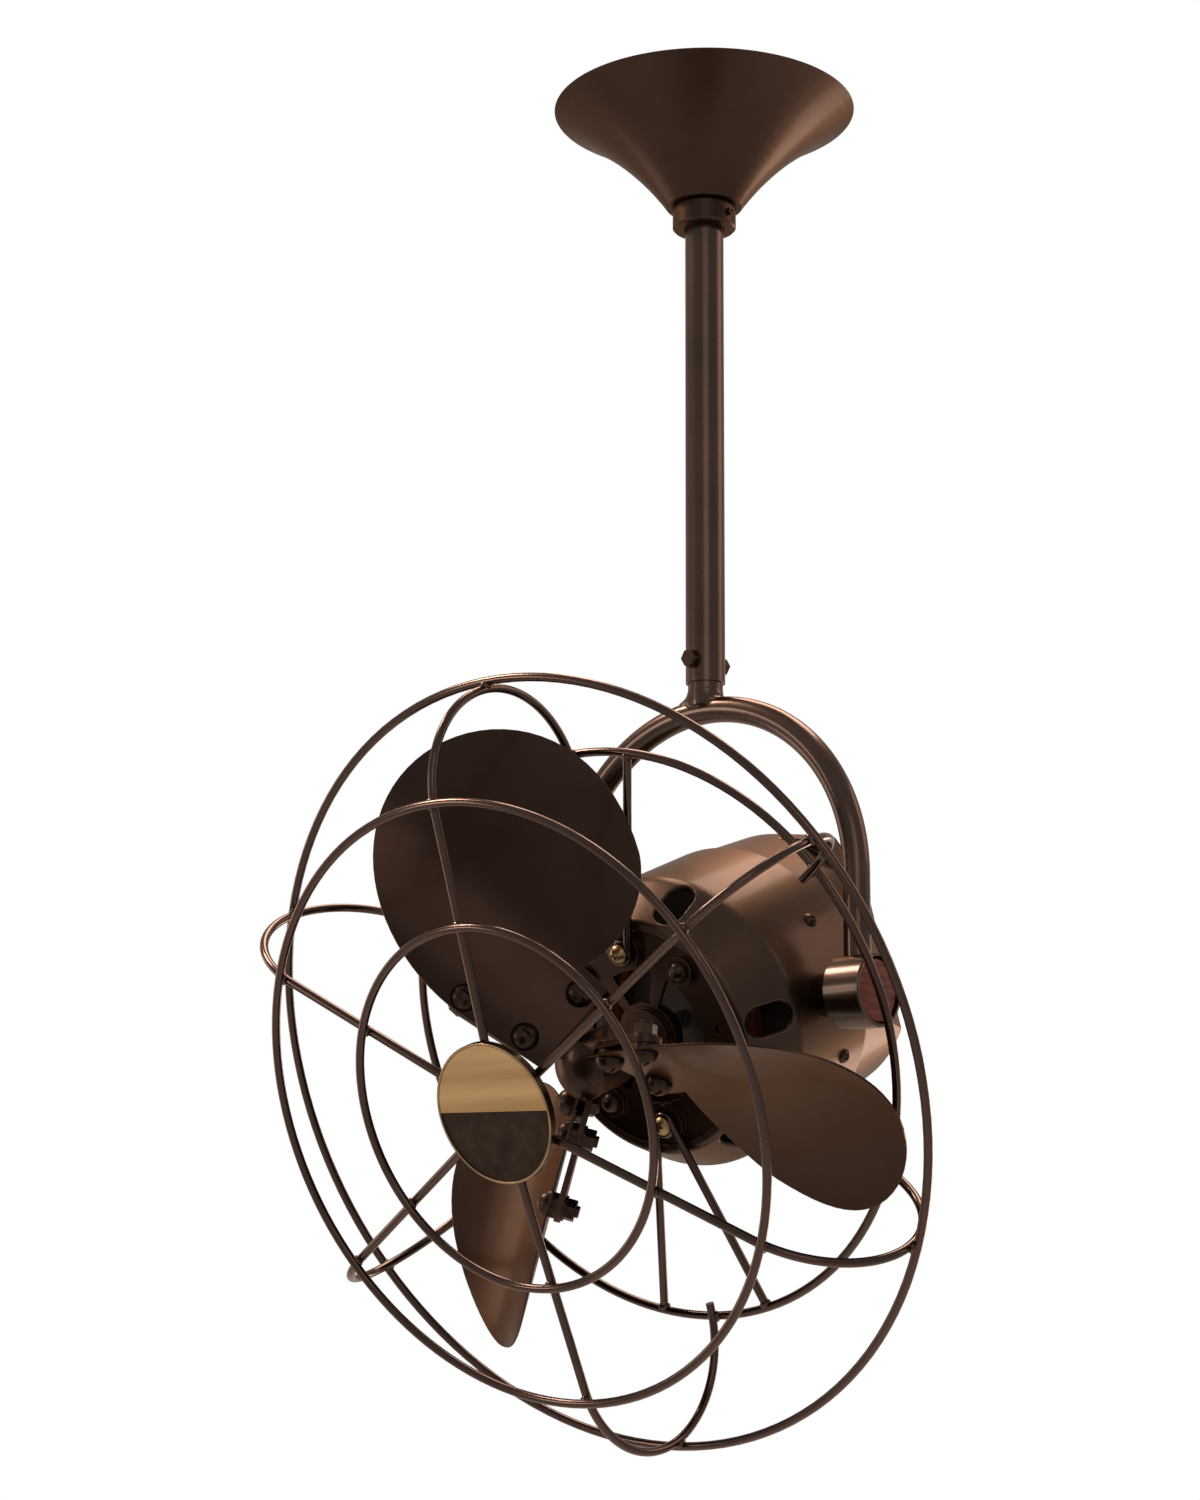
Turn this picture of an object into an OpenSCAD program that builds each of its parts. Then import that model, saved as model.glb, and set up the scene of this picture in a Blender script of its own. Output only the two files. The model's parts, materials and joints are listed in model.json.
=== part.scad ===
// Directional ceiling fan: one caged fan head tilts in a horseshoe yoke under a downrod.
// The ceiling is the plane z = 0 and the rod hangs down the Z axis. The yoke turns the
// head about X. The fan blows along the head's own axis, towards -Y and down at rest.

/* [Ceiling mount] */
// Length of the ceiling bracket
bracket_length = 112; // [104:1:124]
// Width of the ceiling bracket
bracket_width = 30; // [26:1:36]
// Sheet thickness of the ceiling bracket
bracket_thickness = 2.5; // [2:0.1:3.5]
// Distance between the two ceiling screws
screw_spacing = 88.9; // [80:0.1:92]
// Hole for a ceiling screw
screw_hole_d = 5; // [4:0.1:6]
// Ceiling down to the hanger bolt
hanger_drop = 21; // [19:1:24]
// Hanger bolt diameter
hanger_bolt_d = 8; // [6:0.5:9]
// Thickness of each rubber beside the rod
rubber_thickness = 3; // [2:0.5:4]

/* [Canopy] */
// Diameter of the canopy at the ceiling
canopy_rim_d = 168; // [156:1:184]
// Diameter of the canopy at its neck
canopy_neck_d = 42; // [38:1:48]
// Height of the canopy
canopy_height = 57; // [52:1:66]
// Angle by which the canopy wall turns outward from neck to rim
canopy_turn = 26; // [16:1:34]
// Sheet thickness of the canopy
canopy_wall = 1.2; // [1:0.1:2]
// Diameter of the collar under the canopy
collar_d = 35.2; // [30:0.2:38]
// Height of the collar
collar_height = 13; // [10:1:16]
// Gap between the rod and what slides on it, on the radius
slide_gap = 0.4; // [0.3:0.05:0.8]
// Diameter of the collar's set screw
set_screw_d = 4; // [3:0.5:5]

/* [Downrod] */
// Outer diameter of the rod
rod_d = 21.4; // [20:0.2:24]
// Wall of the rod
rod_wall = 1.2; // [1:0.1:1.8]
// Length of the rod
rod_length = 322; // [260:1:460]
// Rod's top end below the ceiling
rod_top = 8; // [5:0.5:10]
// Diameter of the bolt through rod and yoke stem
rod_bolt_d = 5; // [4.5:0.5:7]
// Height of that bolt above the rod's bottom end
rod_bolt_height = 12; // [9:1:20]

/* [Yoke] */
// Side of the housing to the middle of a yoke leg
leg_clearance = 20.3; // [18:0.1:25]
// Diameter of the yoke tube
yoke_tube_d = 14; // [12:0.5:16]
// Wall of the yoke tube
yoke_tube_wall = 2; // [1.5:0.1:2.5]
// Rod's bottom end down to the top of the arch, on its centre line
arch_drop = 15; // [13:0.5:20]
// Length of the straight legs down to the pivot
leg_length = 61.7; // [50:0.1:80]
// Length of the stem inside the rod
stem_inside = 30; // [24:1:50]
// Height of the stem's taper under the rod
stem_taper = 3; // [2:0.5:4]

/* [Pivot] */
// Outer diameter of the pivot cups
cup_d = 38; // [36:0.5:42]
// Width of a cup along the pivot axis
cup_width = 23; // [20:0.5:27]
// Inner face of a cup, measured inward from the leg's centre line
cup_inset = 9.7; // [8.5:0.1:11]
// Wall of a cup
cup_wall = 1.8; // [1.4:0.1:2.4]
// Floor of a cup
cup_floor = 4; // [3:0.5:5]
// Diameter of the pivot studs
stud_d = 8; // [6:0.5:9]
// Diameter of the shoulder on a stud
stud_shoulder_d = 22; // [18:1:26]
// Thickness of the friction washers
friction_washer = 1.5; // [1:0.1:2]
// Gap between the wooden knob and its cup, on the radius
knob_gap = 0.7; // [0.5:0.1:1.2]

/* [Motor housing] */
// Outer diameter of the front cover
housing_d = 156; // [154:1:164]
// Seam between front and rear cover, behind the pivot axis
seam_back = 34; // [30:1:40]
// Front face of the housing, ahead of the pivot axis
housing_front = 54; // [52:0.5:58]
// Back face of the housing, behind the pivot axis
housing_back = 82; // [78:1:88]
// Slope of the front shoulder
shoulder_angle = 31.6; // [28:0.2:35]
// Radius of the bend into the shoulder
shoulder_bend = 12; // [8:0.5:16]
// Radius of the rounded nose
nose_bend = 4; // [3:0.5:6]
// Width of the sloping shoulder, from the side wall to the nose
shoulder_width = 17.9; // [17:0.1:19]
// Width of the flat lip round the front opening
lip_width = 2.6; // [1.5:0.1:3.6]
// Sheet thickness of both covers
cover_wall = 2; // [1.6:0.1:2.4]
// Step from the front cover down to the rear cover at the seam, on the radius
seam_step = 1; // [0.6:0.1:2]
// Diameter of the rear cover at its back end
rear_end_d = 147; // [142:0.5:150]
// Half the distance between the rear cover's flat sides, at its back end
flat_side = 60.5; // [58:0.5:64]
// Angle of the two upper vents above the pivot axis
vent_rise = 66; // [60:1:68]
// Angle of the two lower vents below the pivot axis
vent_fall = 60; // [54:1:62]
// Length of a vent
vent_length = 25; // [22:0.5:26]
// Width of a vent
vent_width = 14.5; // [12:0.5:16]
// Radius of a vent's rolled lip
vent_lip = 3; // [2:0.1:3]
// Middle of the vents, ahead of the pivot axis
vent_front = 40.5; // [39:0.5:41]
// Reach of the mounting lugs past the fan axis
lug_reach = 82; // [80:0.5:84]
// Angle of the two upper lugs above the pivot axis
lug_angle = 55; // [45:1:60]

/* [Motor inside] */
// Gap between the front cover's wall and the stator core, on the radius
stator_clearance = 6; // [5:0.5:10]
// Length of the stator core
stator_length = 40; // [34:1:44]
// Diameter of the rotor core
rotor_d = 67; // [60:0.5:72]
// Air gap between rotor and stator, on the radius
air_gap = 0.5; // [0.35:0.05:1]
// Shaft diameter
shaft_d = 10; // [8:0.5:12]
// Outer diameter of the bearings
bearing_d = 22; // [20:0.5:24]
// Width of the bearings
bearing_width = 6; // [5:0.5:7]

/* [Cage] */
// Wire thickness
wire_d = 4.4; // [3.6:0.1:5]
// Diameter of the outer ring, on the wire's centre line
ring_outer_d = 400; // [392:1:420]
// Middle front ring, in from the outer ring on the radius
ring_mid_inset = 48; // [42:0.5:55]
// Diameter of the small front ring
ring_small_d = 182.4; // [160:0.2:200]
// Rear ring, in from the outer ring on the radius
ring_rear_inset = 49.5; // [45:0.5:54]
// Radius of the bend at the side of the cage
rib_bend = 53.9; // [50:0.1:58]
// Centre of that bend, ahead of the pivot axis
rib_bend_front = 110.6; // [109:0.1:116]
// Outer ring behind the centre of the bend
ring_outer_back = 4.6; // [0:0.1:10]
// Angle at which the ribs rise towards the centre
rib_rise = 3.4; // [1:0.1:5]
// Where the ribs end under the emblem, from the fan axis
rib_inner_r = 20; // [14:1:28]
// Number of ribs
rib_count = 6; // [6:1:6]
// Depth by which crossing wires melt into each other
weld_sink = 0.6; // [0.3:0.05:0.7]
// Half angle of each pair of rear struts, seen from the fan axis
strut_spread = 13; // [9:0.5:18]
// Strut screws and cap screws, in from the end shield's edge
shield_screw_inset = 14.1; // [13.1:0.1:16]
// Diameter of the emblem
emblem_d = 71; // [60:1:80]
// Thickness of the emblem
emblem_thickness = 3.8; // [3:0.1:6]

/* [Blades] */
// Number of blades
blade_count = 3; // [3:1:3]
// Long diameter of the oval blade
blade_length = 164.6; // [150:0.2:168]
// Short diameter of the oval blade
blade_width = 124; // [110:0.5:128]
// Sheet thickness of a blade
blade_thickness = 1.2; // [1:0.1:1.6]
// Radius to which the blade sheet is rolled
blade_roll = 131.3; // [120:0.5:150]
// Distance from the fan axis to the middle of the oval
blade_reach = 88.3; // [84:0.1:89]
// Distance of the oval's middle behind the leading line
blade_trail = 39.3; // [36:0.1:41]
// Turn of the oval in its own sheet
blade_skew = 16.3; // [12:0.1:20]
// Pitch of the blades
blade_pitch = 34.1; // [30:0.1:38]
// Forward lean of the blades
blade_cone = 13.3; // [10:0.1:15]
// Sweep of the blades in the plane of rotation
blade_sweep = 9.2; // [5:0.1:13]
// Angle of the first blade above the pivot axis
blade_start = 115; // [0:1:119]
// Where the blades cross the fan axis, ahead of the pivot axis
blade_front = 103; // [101:0.5:106]
// Thickness of the spacers between blades and carrier
spacer_thickness = 3; // [2:0.5:4]
// Thickness of the carrier's arms
arm_thickness = 3; // [2:0.5:4]
// Half width of the carrier's arms
arm_half_width = 8; // [7:0.5:9]
// Diameter of the carrier's hub
hub_d = 31; // [28:0.5:31]
// Diameter of the blade screws
blade_screw_d = 6; // [5:0.5:6.5]

/* [Pose] */
// Dip of the fan head below level at rest
rest_tilt = 22.5; // [0:0.5:60]

/* [Hidden] */
$fn = 72;
wire_fn = 24;
running_gap = 0.05;
hole_gap = 0.1;
seat_gap = 0.15;

bronze = "#3d2c25";
bronze_light = "#4a382f";
steel = "#8f8f8c";
brass = "#b08d4a";
wood = "#5a2418";

// Rod, yoke and pivot
rod_r = rod_d / 2;
rod_end = -(rod_top + rod_length);
rod_bolt_z = rod_end + rod_bolt_height;
rod_bolt_hex = rod_bolt_d * 5 / 3;
rod_washer = 1;
stem_r = rod_r - rod_wall - running_gap;
housing_r = housing_d / 2;
arch_r = housing_r + leg_clearance;
arch_z = rod_end - arch_drop - arch_r;
pivot_z = arch_z - leg_length;
tube_r = yoke_tube_d / 2;
stem_foot_r = tube_r - 0.4;
cup_inner_x = arch_r - cup_inset;
cup_outer_x = cup_inner_x + cup_width;
cup_floor_x = cup_inner_x + cup_floor;
cup_bore_r = cup_d / 2 - cup_wall;
stud_r = stud_d / 2;
washer_x = cup_inner_x - friction_washer;
stud_setback = 8;
stud_end_x = cup_outer_x - stud_setback;
stud_root_r = stud_r + 1;
insert_r = stud_r + 3;
insert_flange = 2.5;
knob_inner_x = cup_floor_x + insert_flange;

// Ceiling bracket and its bolt
cheek_x = rod_r + rubber_thickness;
cheek_out = cheek_x + bracket_thickness;
cheek_r = 12;
hanger_hex = hanger_bolt_d * 1.6;
hanger_hex_h = hanger_bolt_d * 0.65;
bolt_end = 3;

// Motor housing, along the fan axis
cover_inner_r = housing_r - cover_wall;
stator_d = 2 * (cover_inner_r - stator_clearance);
rear_seam_r = housing_r - seam_step;
rear_end_r = rear_end_d / 2;
plate_thickness = 3;
lug_thickness = 6;
lug_r = 5.5;
lug_centre_r = lug_reach - lug_r;
lug_angles = [lug_angle, 180 - lug_angle, 270];
nose_u = [cos(shoulder_angle), sin(shoulder_angle)];
nose_centre_r = housing_r - shoulder_width;
opening_r = nose_centre_r - lip_width;
shoulder_line = nose_bend + nose_u[0] * nose_centre_r + nose_u[1] * (housing_front - nose_bend);
shoulder_start = (shoulder_line - shoulder_bend - nose_u[0] * (housing_r - shoulder_bend)) / nose_u[1];
vent_r = (shoulder_line - nose_u[1] * vent_front) / nose_u[0];
vent_angles = [0, vent_rise, 180 - vent_rise, 180, 180 + vent_fall, -vent_fall];
shield_top = housing_front - cover_wall;
shield_thickness = 3;
shield_r = nose_centre_r;
shield_screw_r = shield_r - shield_screw_inset;
pad_top = housing_front + 1;
shield_boss_r = bearing_d / 2 + 4;
shield_boss_back = shield_top - bearing_width - 4;
back_boss_front = -(housing_back - plate_thickness) + bearing_width + 6;
back_seat = back_boss_front - bearing_width - 2;
side_screw_angle = 28;
side_screw_back = 15;
side_screw_d = 4;
strut_screw_d = 5;
rotor_r = rotor_d / 2;
stator_bore_r = rotor_r + air_gap;
shaft_r = shaft_d / 2;
shaft_back = back_seat + 0.5;

// Cage
ring_mid_d = ring_outer_d - 2 * ring_mid_inset;
ring_rear_d = ring_outer_d - 2 * ring_rear_inset;
wire_r = wire_d / 2;
wire_contact = wire_d - weld_sink;
bend_contact = rib_bend + wire_contact;
bend_r = ring_outer_d / 2 - sqrt(bend_contact ^ 2 - ring_outer_back ^ 2);
ring_outer_a = rib_bend_front - ring_outer_back;
ring_mid_a = rib_bend_front + sqrt(bend_contact ^ 2 - (ring_mid_d / 2 - bend_r) ^ 2);
ring_rear_a = rib_bend_front - sqrt(bend_contact ^ 2 - (ring_rear_d / 2 - bend_r) ^ 2);
rib_end = [bend_r + rib_bend * sin(rib_rise), rib_bend_front + rib_bend * cos(rib_rise)];
ring_small_a = rib_front(ring_small_d / 2) + wire_contact / cos(rib_rise);
emblem_back = rib_front(rib_inner_r) + wire_r / cos(rib_rise);
emblem_plate_r = rib_inner_r + 4;
emblem_plate_top = rib_front(emblem_plate_r) - wire_r / cos(rib_rise);
eye_r = strut_screw_d / 2 + wire_r + 0.3;
eye_a = pad_top + wire_r;

// Blades, in the sheet's own frame: x outward, y through the sheet, z along the chord
blade_centre = [blade_reach, -blade_trail];
blade_half = blade_thickness / 2;
arm_inner = blade_half + spacer_thickness;
arm_outer = arm_inner + arm_thickness;
blade_screw_spots = [[69, 16], [33.4, 10.2], [27.4, -25.4]];
arm_root = [11, -4];
root_r = 18;
root_tab = [[root_r, 17], [root_r, -10], [54, 0], [54, 22.4]];
notch = [52, -36];
shoulder_lobe = [72, -56];
shoulder_lobe_r = 40.7;
hub_r = hub_d / 2;
hub_back = blade_front - 19;
hub_top = blade_front + 7;
cap_seat = 3;

function rib_front(r) = rib_end[1] + (rib_end[0] - r) * tan(rib_rise);
function polar(r, angle) = [r * cos(angle), r * sin(angle)];
function arc(centre, r, from, to, steps) =
    [for (i = [0:steps]) centre + polar(r, from + (to - from) * i / steps)];
function heading(from, to) = atan2(to[1] - from[1], to[0] - from[0]);
function flip(list) = [for (i = [len(list) - 1:-1:0]) list[i]];
// Outline of the front cover's wall, set in by some depth
function front_path(inset) = concat(
    [[housing_r - inset, -seam_back]],
    arc([housing_r - shoulder_bend, shoulder_start], shoulder_bend - inset, 0, shoulder_angle, 6),
    arc([nose_centre_r, housing_front - nose_bend], nose_bend - inset, shoulder_angle, 90, 5),
    [[opening_r, housing_front - inset]]
);
// Radius of the rear cover at a distance behind the pivot axis
function rear_r(back) = rear_end_r
    + (rear_seam_r - rear_end_r) * ((housing_back - back) / (housing_back - seam_back)) ^ 1.4;
// Half the distance between the flat sides at a distance behind the pivot axis
function flat_x(back) =
    flat_side + (housing_r - flat_side) * (housing_back - back) / (housing_back - seam_back);
function rear_path(inset) = [for (i = [0:10])
    let (back = seam_back + (housing_back - plate_thickness - seam_back) * i / 10)
    [rear_r(back) - inset, -back]];

// ---- Placing ----

// The head's own frame: z forward along the fan axis, x along the pivot axis, y up
module head() {
    translate([0, 0, pivot_z]) rotate([90 + rest_tilt, 0, 0]) children();
}

// The frame of one blade: x outward along its sheet, y to its back, origin on the fan axis
module blade_place(index) {
    head() translate([0, 0, blade_front]) rotate([0, 0, blade_start - index * 360 / blade_count])
        rotate([-blade_pitch, -blade_cone, blade_sweep]) children();
}

// A spot on the rolled sheet, with z pointing out of its back
module on_sheet(spot) {
    translate([spot[0], -blade_roll, 0]) rotate([spot[1] / blade_roll * 180 / PI, 0, 0])
        translate([0, blade_roll, 0]) rotate([-90, 0, 0]) children();
}

module along_x(x) {
    translate([x, 0, 0]) rotate([0, 90, 0]) children();
}

module each_blade_screw() {
    for (index = [0:blade_count - 1], spot = blade_screw_spots)
        blade_place(index) on_sheet(spot) children();
}

module each_side_screw() {
    for (side = [0, 180], lift = [-1, 1])
        head() rotate([0, 0, side + lift * side_screw_angle]) along_x(0)
            translate([side_screw_back, 0, 0]) children();
}

// ---- Shared shapes ----

module ring_wall(outer, inner, h) {
    difference() {
        cylinder(r = outer, h = h);
        translate([0, 0, -1]) cylinder(r = inner, h = h + 2);
    }
}

module hex(width, h) {
    cylinder(d = width / cos(30), h = h, $fn = 6);
}

// A round screw head, flat side at z = 0
module dome_head(d, h) {
    cap_r = (d ^ 2 / 4 + h ^ 2) / (2 * h);
    intersection() {
        translate([0, 0, h - cap_r]) sphere(r = cap_r, $fn = 32);
        cylinder(d = d, h = h + 1, $fn = 32);
    }
}

module cross_recess(size, depth) {
    for (turn = [0, 90])
        rotate([0, 0, turn]) translate([-size / 2, -size / 8, -depth]) cube([size, size / 4, depth + 2]);
}

module wire_between(from, to) {
    reach = to - from;
    translate(from) rotate([0, acos(reach[2] / norm(reach)), atan2(reach[1], reach[0])])
        cylinder(d = wire_d, h = norm(reach), $fn = wire_fn);
}

// Disc with lugs that leave it on tangent lines
module lug_outline(disc_r) {
    circle(r = disc_r);
    lean = acos((disc_r - lug_r) / lug_centre_r);
    for (angle = lug_angles)
        rotate(angle) {
            translate([lug_centre_r, 0]) circle(r = lug_r, $fn = 32);
            polygon([polar(disc_r, lean), polar(disc_r, -lean),
                     [lug_centre_r, 0] + polar(lug_r, -lean), [lug_centre_r, 0] + polar(lug_r, lean)]);
        }
}

// Straight bar with round ends between two spots
module bar(from, to, r) {
    reach = to - from;
    for (spot = [from, to]) translate(spot) circle(r = r, $fn = 32);
    translate(from) rotate(atan2(reach[1], reach[0])) translate([0, -r]) square([norm(reach), 2 * r]);
}

// ---- Ceiling mount and downrod ----

module ceiling_bracket() {
    color(steel) {
        difference() {
            translate([-bracket_length / 2, -bracket_width / 2, -bracket_thickness])
                cube([bracket_length, bracket_width, bracket_thickness]);
            for (side = [-1, 1])
                translate([side * screw_spacing / 2, 0, -bracket_thickness - 1])
                    cylinder(d = screw_hole_d, h = bracket_thickness + 2);
        }
        for (side = [-1, 1])
            difference() {
                union() {
                    translate([side * (cheek_x + bracket_thickness / 2) - bracket_thickness / 2,
                               -cheek_r, -hanger_drop])
                        cube([bracket_thickness, 2 * cheek_r, hanger_drop - bracket_thickness / 2]);
                    translate([0, 0, -hanger_drop])
                        along_x(side > 0 ? cheek_x : -cheek_out) cylinder(r = cheek_r, h = bracket_thickness);
                }
                translate([0, 0, -hanger_drop]) along_x(side * cheek_x - 2 * bracket_thickness)
                    cylinder(d = hanger_bolt_d + 2 * hole_gap, h = 4 * bracket_thickness);
            }
    }
}

module hanger_rubbers() {
    color("#262626")
        for (x = [-cheek_x, rod_r])
            translate([0, 0, -hanger_drop]) along_x(x)
                ring_wall(cheek_r - 2, hanger_bolt_d / 2 + hole_gap, rubber_thickness);
}

module hanger_bolt() {
    color(steel) translate([0, 0, -hanger_drop]) {
        along_x(-cheek_out - hanger_hex_h - bolt_end)
            cylinder(d = hanger_bolt_d, h = 2 * cheek_out + hanger_hex_h + 2 * bolt_end);
        along_x(cheek_out) hex(hanger_hex, hanger_hex_h);
    }
}

module hanger_nut() {
    color(steel) translate([0, 0, -hanger_drop]) along_x(-cheek_out - hanger_hex_h)
        difference() {
            hex(hanger_hex, hanger_hex_h);
            translate([0, 0, -1]) cylinder(d = hanger_bolt_d, h = hanger_hex_h + 2);
        }
}

module downrod() {
    color(bronze) difference() {
        translate([0, 0, rod_end]) cylinder(r = rod_r, h = rod_length);
        translate([0, 0, rod_end - 1]) cylinder(r = rod_r - rod_wall, h = rod_length + 2);
        translate([0, 0, -hanger_drop]) along_x(-rod_d)
            cylinder(d = hanger_bolt_d + 2 * hole_gap, h = 2 * rod_d);
        rod_bolt_hole();
    }
}

module rod_bolt_hole() {
    translate([0, 0, rod_bolt_z]) rotate([90, 0, 0])
        cylinder(d = rod_bolt_d + 2 * hole_gap, h = 2 * rod_d, center = true);
}

module rod_bolt() {
    seat = rod_r + rod_washer;
    color(bronze) translate([0, 0, rod_bolt_z]) rotate([90, 0, 0]) {
        translate([0, 0, -seat - rod_bolt_d - 1]) cylinder(d = rod_bolt_d, h = 2 * seat + rod_bolt_d + bolt_end);
        translate([0, 0, seat]) hex(rod_bolt_hex, rod_bolt_d * 0.7);
    }
}

module rod_washers() {
    color(bronze) for (side = [0, 180])
        rotate([0, 0, side]) translate([0, -rod_r, rod_bolt_z]) rotate([90, 0, 0])
            ring_wall(rod_bolt_d, rod_bolt_d / 2 + hole_gap, rod_washer);
}

module rod_nut() {
    color(bronze) translate([0, rod_r + rod_washer + rod_bolt_d * 0.8, rod_bolt_z]) rotate([90, 0, 0])
        difference() {
            hex(rod_bolt_hex, rod_bolt_d * 0.8);
            translate([0, 0, -1]) cylinder(d = rod_bolt_d, h = rod_bolt_d + 2);
        }
}

// ---- Canopy ----

module canopy() {
    rise = [(canopy_rim_d - canopy_neck_d) / 2, canopy_height];
    chord = norm(rise);
    chord_angle = atan2(rise[1], rise[0]);
    flare_r = chord / 2 / sin(canopy_turn / 2);
    flare_from = chord_angle + 90 + canopy_turn / 2;
    flare_to = chord_angle + 90 - canopy_turn / 2;
    centre = [canopy_neck_d / 2, -canopy_height] - polar(flare_r, flare_from);
    neck_hole = rod_r + slide_gap;
    color(bronze) difference() {
        rotate_extrude($fn = 120) polygon(concat(
            [[neck_hole, -canopy_height]],
            arc(centre, flare_r, flare_from, flare_to, 16),
            flip(arc(centre, flare_r + canopy_wall, flare_from, flare_to, 16)),
            [[neck_hole, -canopy_height + 1.5 * canopy_wall]]
        ));
        cylinder(r = canopy_rim_d, h = canopy_height);
    }
}

module collar() {
    color(bronze) translate([0, 0, -canopy_height - collar_height])
        difference() {
            rotate_extrude() polygon([
                [rod_r + slide_gap, 0], [collar_d / 2 - 1, 0], [collar_d / 2, 1],
                [collar_d / 2, collar_height - 1], [collar_d / 2 - 1, collar_height],
                [rod_r + slide_gap, collar_height]]);
            translate([0, 0, collar_height / 2]) rotate([0, 90, 0])
                cylinder(d = set_screw_d, h = collar_d);
        }
}

module collar_screw() {
    color(bronze_light) translate([0, 0, -canopy_height - collar_height / 2])
        difference() {
            along_x(rod_r + slide_gap) cylinder(d = set_screw_d, h = (collar_d - rod_d) / 2 + 1.6);
            along_x(collar_d / 2 + slide_gap) cylinder(d = set_screw_d / 2, h = 4, $fn = 6);
        }
}

// ---- Yoke ----

module yoke_tube(r) {
    translate([0, 0, arch_z]) rotate([90, 0, 0]) {
        rotate_extrude(angle = 180, $fn = 120) translate([arch_r, 0]) circle(r = r, $fn = 36);
        for (side = [-1, 1])
            translate([side * arch_r, 0, 0]) rotate([90, 0, 0]) cylinder(r = r, h = leg_length, $fn = 36);
    }
}

module yoke() {
    arch_top = arch_z + arch_r;
    stem_length = arch_drop + stem_inside;
    color(bronze) difference() {
        union() {
            yoke_tube(tube_r);
            translate([0, 0, arch_top]) rotate_extrude() polygon([
                [0, 0], [stem_foot_r, 0], [stem_foot_r, tube_r - stem_taper], [stem_r, tube_r],
                [stem_r, stem_length], [0, stem_length]]);
        }
        yoke_tube(tube_r - yoke_tube_wall);
        translate([0, 0, arch_top]) cylinder(r = tube_r - yoke_tube_wall - 1, h = stem_length + 1);
        rod_bolt_hole();
        translate([0, 0, pivot_z]) along_x(-2 * arch_r) cylinder(d = cup_d, h = 4 * arch_r);
    }
}

module yoke_cup(side) {
    color(bronze) translate([0, 0, pivot_z]) mirror([side > 0 ? 0 : 1, 0, 0])
        along_x(cup_inner_x) rotate_extrude() polygon([
            [stud_r + running_gap, 0], [cup_d / 2 - 1.5, 0], [cup_d / 2, 1.5],
            [cup_d / 2, cup_width - 0.6], [cup_d / 2 - 0.6, cup_width], [cup_bore_r, cup_width],
            [cup_bore_r, cup_floor], [stud_r + running_gap, cup_floor]]);
}

// ---- Pivot ----

module pivot_stud(side) {
    color(steel) translate([0, 0, pivot_z]) mirror([side > 0 ? 0 : 1, 0, 0]) {
        along_x(stator_d / 2 + 0.3) cylinder(r = stud_root_r, h = washer_x - stator_d / 2 - 1);
        difference() {
            along_x(cover_inner_r - 4) cylinder(d = stud_shoulder_d, h = washer_x - cover_inner_r + 4);
            rotate([90 + rest_tilt, 0, 0]) cylinder(r = housing_r, h = 2 * housing_d, center = true, $fn = 120);
        }
        along_x(washer_x - 2) cylinder(r = stud_r, h = stud_end_x - washer_x + 2);
    }
}

module pivot_nuts() {
    color(steel) translate([0, 0, pivot_z]) for (side = [0, 180])
        rotate([0, 0, side]) along_x(stator_d / 2 + 0.4) difference() {
            hex(2 * stud_root_r + 5, cover_inner_r - stator_d / 2 - 1.1);
            translate([0, 0, -1]) cylinder(r = stud_root_r, h = 20);
        }
}

module friction_washers() {
    color("#262626") translate([0, 0, pivot_z]) for (side = [0, 180])
        rotate([0, 0, side]) along_x(washer_x)
            ring_wall(stud_shoulder_d / 2 - 0.5, stud_r, friction_washer);
}

module knob_insert(side) {
    color(brass) translate([0, 0, pivot_z]) mirror([side > 0 ? 0 : 1, 0, 0])
        along_x(cup_floor_x + seat_gap) difference() {
            union() {
                cylinder(r = insert_r + 3, h = knob_inner_x - cup_floor_x - seat_gap);
                cylinder(r = insert_r, h = stud_end_x - cup_floor_x + 1);
            }
            translate([0, 0, -1])
                cylinder(r = stud_r + running_gap, h = stud_end_x - cup_floor_x + 1 + seat_gap + 0.5);
        }
}

module knob(side) {
    knob_r = cup_bore_r - knob_gap;
    depth = cup_outer_x - 1 - knob_inner_x;
    color(wood) translate([0, 0, pivot_z]) mirror([side > 0 ? 0 : 1, 0, 0])
        along_x(knob_inner_x) difference() {
            rotate_extrude() polygon(concat(
                [[0, 0], [knob_r - 1, 0], [knob_r, 1]],
                arc([knob_r - 2, depth - 2], 2, 0, 80, 5),
                [[knob_r / 2, depth + 0.6], [0, depth + 0.8]]
            ));
            translate([0, 0, -1])
                cylinder(r = insert_r, h = stud_end_x - knob_inner_x + 2 + seat_gap);
        }
}

// ---- Motor housing ----

module each_vent() {
    for (angle = vent_angles)
        rotate([0, 0, angle]) translate([vent_r, 0, vent_front])
            rotate([0, 90 - shoulder_angle, 0]) children();
}

// Long shape with round ends, from the profile of its side wall
module vent_shape(profile) {
    run = (vent_length - vent_width) / 2;
    for (side = [-1, 1]) {
        translate([side * run, 0, 0]) rotate([0, 0, -90 * side])
            rotate_extrude(angle = 180, $fn = 48) polygon(profile);
        mirror([0, side > 0 ? 0 : 1, 0]) translate([-run, 0, 0]) rotate([90, 0, 90])
            linear_extrude(2 * run) polygon(profile);
    }
}

module vent_flange() {
    outer = vent_width / 2 + cover_wall;
    difference() {
        each_vent() vent_shape([[0, -vent_lip], [outer, -vent_lip], [outer, -0.8 * cover_wall],
                                [0, -0.8 * cover_wall]]);
        cylinder(r = shield_r + 0.3, h = shield_top);
    }
}

module vent_cut() {
    half = vent_width / 2;
    depth = 3 * vent_lip;
    lift = 0.25;
    each_vent() vent_shape(concat(
        [[0, -depth], [half, -depth]],
        arc([half + vent_lip, lift - vent_lip], vent_lip, 180, 90, 5),
        [[half + vent_lip, vent_lip], [0, vent_lip]]
    ));
}

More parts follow.
